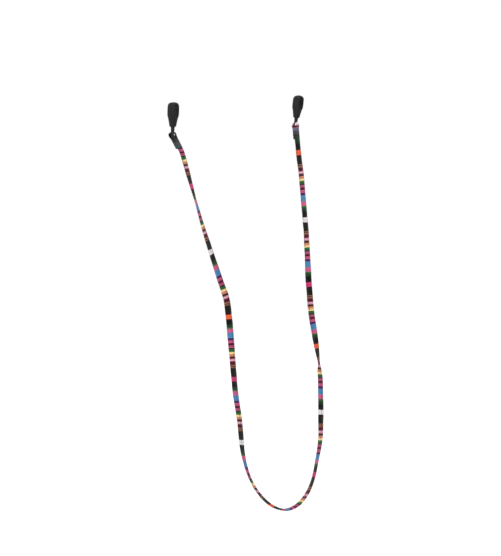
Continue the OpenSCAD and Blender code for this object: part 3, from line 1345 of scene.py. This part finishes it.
@dataclass
class TempleLoop:
    """A moulded rubber loop: crown, slot, taper, shoulder, neck and the barrel on the pin."""

    place: Placement
    body: Body
    around: int = 40
    voxel: float = 0.22 * MM
    lip_flare: float = 0.7 * MM
    lip_limit: float = 1.1 * MM
    side_swell: float = 0.12 * MM
    crown_square: float = 2.7
    slot_square: float = 3.0
    neck_square: float = 2.6

    def build(self) -> list[bpy.types.Object]:
        """Makes the loop, with its barrel bored for the steel pin.

        Returns:
            The loop.
        """
        side = self.place.side.value
        loop = self.solid(f"{side}_rubber_loop")
        dress(loop, SatinRubber(f"{side}_satin_rubber").material(), self.body)
        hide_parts(f"{side}_temple_loop")
        log.info("%s loop: %d faces", side, len(loop.data.polygons))
        return [loop]

    def profile(self) -> list[tuple[float, float, float, float]]:
        """The body's levels: height, half width, half depth and how square the level is."""
        s = self.place.sizes
        full_x, full_y = s.width / 2, s.depth / 2
        foot = s.shoulder_width / 2
        levels = []
        top = s.crown - s.edge_round
        for share in (1.0, 0.985, 0.94, 0.86, 0.74, 0.58, 0.4, 0.2):
            round_in = (1 - share**2) ** 0.5
            inset = s.edge_round * (1 - round_in)
            height = top + share * s.edge_round
            levels.append((height, full_x - inset, full_y - inset, self.crown_square))
        base = s.edge_round - s.slot_height / 2
        for z in np.linspace(top, base, 8):
            swell = self.side_swell * math.sin(math.pi * (top - z) / (top - base))
            levels.append((float(z), full_x + swell, full_y + swell / 2, self.slot_square))
        low = s.shoulder + s.shoulder_round
        for t in np.linspace(0, 1, 12)[1:]:
            bend = t + 0.1 * math.sin(math.pi * t)
            levels.append(
                (
                    base + (low - base) * float(t),
                    full_x + (foot - full_x) * bend,
                    full_y + (foot - full_y) * bend,
                    self.slot_square - 0.3 * float(t),
                )
            )
        for share in (0.35, 0.62, 0.82, 0.94, 1.0):
            inset = s.shoulder_round * (1 - (1 - share**2) ** 0.5)
            height = low - share * s.shoulder_round
            levels.append((height, foot - inset, foot - inset, self.crown_square))
        return levels

    def ring(self, z: float, a: float, b: float, power: float) -> Array:
        """One level's rounded-square outline."""
        turn = np.linspace(0, 2 * math.pi, self.around, endpoint=False)
        c, s = np.cos(turn), np.sin(turn)
        x = a * np.sign(c) * np.abs(c) ** (2 / power)
        y = b * np.sign(s) * np.abs(s) ** (2 / power)
        return np.stack([x, y, np.full_like(x, z)], axis=1)

    def tube(self, name: str, rings: list[Array]) -> bpy.types.Object:
        """A closed tube through rings of the same size."""
        grid = TubeGrid(len(rings), len(rings[0]))
        return mesh_piece(name, np.vstack(rings), grid.faces())

    def slot_cutter(self) -> bpy.types.Object:
        """The slot's space, flared where it opens on both faces."""
        s = self.place.sizes
        straight = (s.slot_height - s.slot_width) / 2
        reach = s.depth / 2
        rings = []
        for y in (-1.3, -1.02, -0.97, -0.9, -0.8, -0.6, 0.6, 0.8, 0.9, 0.97, 1.02, 1.3):
            open_by = self.lip_flare * max(0.0, (abs(y) - 0.8) / 0.22) ** 2.2
            radius = s.slot_width / 2 + min(open_by, self.lip_limit)
            turn = np.linspace(0, 2 * math.pi, 48, endpoint=False)
            x, z = radius * np.cos(turn), radius * np.sin(turn)
            z = z + np.where(np.sin(turn) >= 0, straight, -straight)
            rings.append(np.stack([x, np.full_like(x, y * reach), z], axis=1))
        return self.tube("slot_cutter", [r[::-1] for r in rings])

    def rod(self, name: str, radius: float, length: float) -> bpy.types.Object:
        """A rod along Y through the pin's place."""
        turn = np.linspace(0, 2 * math.pi, 48, endpoint=False)
        rings = [
            np.stack(
                [
                    radius * np.cos(turn),
                    np.full_like(turn, y),
                    radius * np.sin(turn) - self.place.sizes.pin_drop,
                ],
                axis=1,
            )[::-1]
            for y in (-length / 2, length / 2)
        ]
        return self.tube(name, rings)

    def cut(self, piece: bpy.types.Object, cutter: bpy.types.Object) -> None:
        """Takes one closed mesh out of another, and removes it."""
        step = piece.modifiers.new("cut", "BOOLEAN")
        step.operation, step.solver, step.object = "DIFFERENCE", "EXACT", cutter
        apply_modifiers(piece)
        bpy.data.objects.remove(cutter)

    def solid(self, name: str) -> bpy.types.Object:
        """The loop's mesh, in place.

        Args:
            name: The piece's name.

        Returns:
            The loop.
        """
        s = self.place.sizes
        body = self.tube(name, [self.ring(*level)[::-1] for level in reversed(self.profile())])
        self.cut(body, self.slot_cutter())
        half_x, half_y = s.neck_thickness / 2, s.neck_width / 2
        # Up the neck: height, how far it swells there, and how much more across its width.
        swells = (
            (-s.pin_drop - 0.2 * MM, 0.0, 0.0),
            (-s.pin_drop + 1.6 * MM, 0.0, -0.04 * MM),
            (s.shoulder - 2.4 * MM, 0.0, 0.0),
            (s.shoulder - 0.7 * MM, 0.1 * MM, 0.0),
            (s.shoulder + 0.1 * MM, 0.4 * MM, 0.0),
            (s.shoulder + 1.2 * MM, 0.5 * MM, 0.0),
        )
        neck = [
            self.ring(z, half_x + swell, half_y + swell + more, self.neck_square)[::-1]
            for z, swell, more in swells
        ]
        parts = [self.tube("neck", neck), self.rod("barrel", s.barrel_radius, s.neck_width)]
        work = bmesh.new()
        for part in (body, *parts):
            work.from_mesh(part.data)
        work.to_mesh(body.data)
        work.free()
        for part in parts:
            bpy.data.objects.remove(part)
        merge = body.modifiers.new("merge", "REMESH")
        merge.mode, merge.voxel_size, merge.use_smooth_shade = "VOXEL", self.voxel, True
        soften = body.modifiers.new("soften", "SMOOTH")
        soften.factor, soften.iterations = 0.5, 5
        apply_modifiers(body)
        self.cut(body, self.rod("bore", s.pin_diameter / 2, s.neck_width + 1 * MM))
        body.data.transform(self.place.loop_frame())
        body.data.polygons.foreach_set("use_smooth", [True] * len(body.data.polygons))
        body.data.update()
        return body


@dataclass(frozen=True)
class CrossbarPin:
    """The steel pin inside a sewn end. Its CAD shape is right, so it only gets its finish."""

    side: Side

    def dress(self, nodes: dict[str, bpy.types.Object]) -> None:
        """Gives the pin its steel.

        Args:
            nodes: The frame's CAD nodes.
        """
        pin = nodes[f"{self.side.value}_crossbar_pin"]
        pin.data.materials.clear()
        pin.data.materials.append(DrawnSteel(f"{self.side.value}_drawn_steel").material())
        log.info("%s pin dressed", self.side.value)


# ---- studio


@dataclass(frozen=True)
class Softbox:
    """A soft square lamp: where it stands, the length of its side and its power in watts."""

    name: str
    place: tuple[float, float, float]
    side: float
    power: float


@dataclass(frozen=True)
class Studio:
    """A white room with a pale floor, soft lamps and the camera."""

    azimuth: float = -42.0
    elevation: float = 2.9
    roll: float = 5.0
    distance: float = 1.2
    aim: tuple[float, float, float] = (0.067, 0.0, -0.139)
    lens: float = 103.7
    sensor: float = 36.0
    floor_drop: float = 0.06
    floor_reach: float = 8.0
    floor_pale: float = 0.9
    floor_seen: float = 0.36
    ambient: float = 0.62
    floor_glow: float = 0.78
    lamps: tuple[Softbox, ...] = (
        Softbox("overhead_softbox", (-0.4, -0.5, 1.5), 1.4, 18.0),
        Softbox("camera_side_softbox", (-1.7, -0.9, 0.5), 1.2, 11.0),
        Softbox("far_side_softbox", (1.6, 1.2, 0.6), 1.2, 9.0),
    )

    def back(self) -> Vector:
        """The direction from the aim to the camera."""
        a, e = math.radians(self.azimuth), math.radians(self.elevation)
        return Vector((math.sin(a) * math.cos(e), -math.cos(a) * math.cos(e), math.sin(e)))

    def camera(self) -> bpy.types.Object:
        """The camera, turned a little about its own axis."""
        back = self.back()
        a, r = math.radians(self.azimuth), math.radians(self.roll)
        right = Vector((math.cos(a), math.sin(a), 0))
        up = back.cross(right)
        x = right * math.cos(r) - up * math.sin(r)
        y = up * math.cos(r) + right * math.sin(r)
        eye = Vector(self.aim) + back * self.distance
        data = bpy.data.cameras.new("camera")
        data.sensor_fit, data.sensor_width, data.lens = "HORIZONTAL", self.sensor, self.lens
        data.clip_start, data.clip_end = 0.02, 50.0
        camera = bpy.data.objects.new("camera", data)
        turn = Matrix((x, y, back)).transposed().to_4x4()
        camera.matrix_world = Matrix.Translation(eye) @ turn
        bpy.context.scene.collection.objects.link(camera)
        bpy.context.scene.camera = camera
        return camera

    def white_room(self) -> None:
        """A world that looks white, and lights the object at its own plain level."""
        world = bpy.data.worlds.new("white_room")
        bpy.context.scene.world = world
        world.use_nodes = True
        tree = world.node_tree
        tree.nodes.clear()
        seen, lit = (tree.nodes.new("ShaderNodeBackground") for _ in range(2))
        for sky, strength in ((seen, 1.0), (lit, self.ambient)):
            sky.inputs["Color"].default_value = (1, 1, 1, 1)
            sky.inputs["Strength"].default_value = strength
        share = self.looked_at(tree)
        mix = tree.nodes.new("ShaderNodeMixShader")
        output = tree.nodes.new("ShaderNodeOutputWorld")
        tree.links.new(share, mix.inputs[0])
        tree.links.new(lit.outputs[0], mix.inputs[1])
        tree.links.new(seen.outputs[0], mix.inputs[2])
        tree.links.new(mix.outputs[0], output.inputs["Surface"])

    @staticmethod
    def looked_at(tree: bpy.types.NodeTree) -> Socket:
        """1 for rays from the camera, straight, mirrored or through glass, and 0 for the rest."""
        path = tree.nodes.new("ShaderNodeLightPath")
        total = path.outputs["Is Camera Ray"]
        for name in ("Is Glossy Ray", "Is Transmission Ray"):
            step = tree.nodes.new("ShaderNodeMath")
            step.operation, step.use_clamp = "ADD", True
            tree.links.new(total, step.inputs[0])
            tree.links.new(path.outputs[name], step.inputs[1])
            total = step.outputs[0]
        return total

    def floor(self, lowest: float) -> None:
        """A wide pale floor below the hanging strap, which keeps its shadow.

        Args:
            lowest: The object's lowest point.
        """
        z, reach = lowest - self.floor_drop, self.floor_reach
        signs = ((-1, -1), (1, -1), (1, 1), (-1, 1))
        corners = np.array([(x * reach, y * reach, z) for x, y in signs])
        floor = mesh_piece("studio_floor", corners, [(0, 1, 2, 3)])
        s = Shading("studio_floor_paint")
        looked_at = self.looked_at(s.tree)
        pale, seen = ((v, v, v, 1) for v in (self.floor_pale, self.floor_seen))
        s.feed("Base Color", s.blended(looked_at, pale, seen))
        s.feed("Roughness", 0.9)
        s.feed("Specular IOR Level", 0.0)
        s.feed("Emission Color", (1, 1, 1, 1))
        s.feed("Emission Strength", s.math("MULTIPLY", looked_at, self.floor_glow))
        floor.data.materials.append(s.material)
        floor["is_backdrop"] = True

    def hang(self, box: Softbox) -> None:
        """Puts up a lamp that looks at the strap.

        Args:
            box: The lamp.
        """
        data = bpy.data.lights.new(box.name, "AREA")
        data.shape, data.size, data.energy = "SQUARE", box.side, box.power
        lamp = bpy.data.objects.new(box.name, data)
        way = Vector(self.aim) - Vector(box.place)
        turn = way.to_track_quat("-Z", "Y").to_matrix().to_4x4()
        lamp.matrix_world = Matrix.Translation(box.place) @ turn
        bpy.context.scene.collection.objects.link(lamp)

    def build(self, lowest: float) -> None:
        """Sets up the whole room.

        Args:
            lowest: The object's lowest point.
        """
        view = bpy.context.scene.view_settings
        view.view_transform = "Standard"
        self.white_room()
        self.floor(lowest)
        for box in self.lamps:
            self.hang(box)
        log.info("studio ready")


# ---- main

# The sewn ends carry greyer stripes than the free band: slate, slate grey and teal, which the
# band's pattern doesn't have.
LEFT_END_STRIPES = mirrored(
    (
        (0.185, Yarn.BLACK),
        (0.30, Yarn.CHARCOAL),
        (0.41, Yarn.SLATE_GREY),
        (0.475, Yarn.TEAL),
        (0.5, Yarn.BLACK),
    )
)
RIGHT_END_STRIPES = mirrored(
    (
        (0.085, Yarn.PALE_PINK),
        (0.145, Yarn.MAROON),
        (0.165, Yarn.PINK),
        (0.25, Yarn.SLATE),
        (0.34, Yarn.SLATE_GREY),
        (0.44, Yarn.CHARCOAL),
        (0.5, Yarn.DARK_GREEN),
    )
)


def main() -> None:
    """Loads the CAD frame, builds and dresses each piece, and sets up the studio."""
    logging.basicConfig(level=logging.INFO, format="%(name)s: %(message)s")
    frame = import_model()
    cad_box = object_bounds()
    studio = Studio()
    studio.camera()
    left = Placement(Side.LEFT, 0.0, 0.0, 9, -28)
    right = Placement(Side.RIGHT, 139 * MM, 3.5 * MM, 16, 0)
    FreeBand(StrapLine(left, right)).build()
    SewnEnd(left, LEFT_END_STRIPES).build()
    SewnEnd(right, RIGHT_END_STRIPES).build()
    TempleLoop(left, Body.LEFT_LOOP).build()
    TempleLoop(right, Body.RIGHT_LOOP).build()
    for side in Side:
        CrossbarPin(side).dress(frame["nodes"])
    studio.build(float(cad_box[0][2]))


if __name__ == "__main__":
    main()
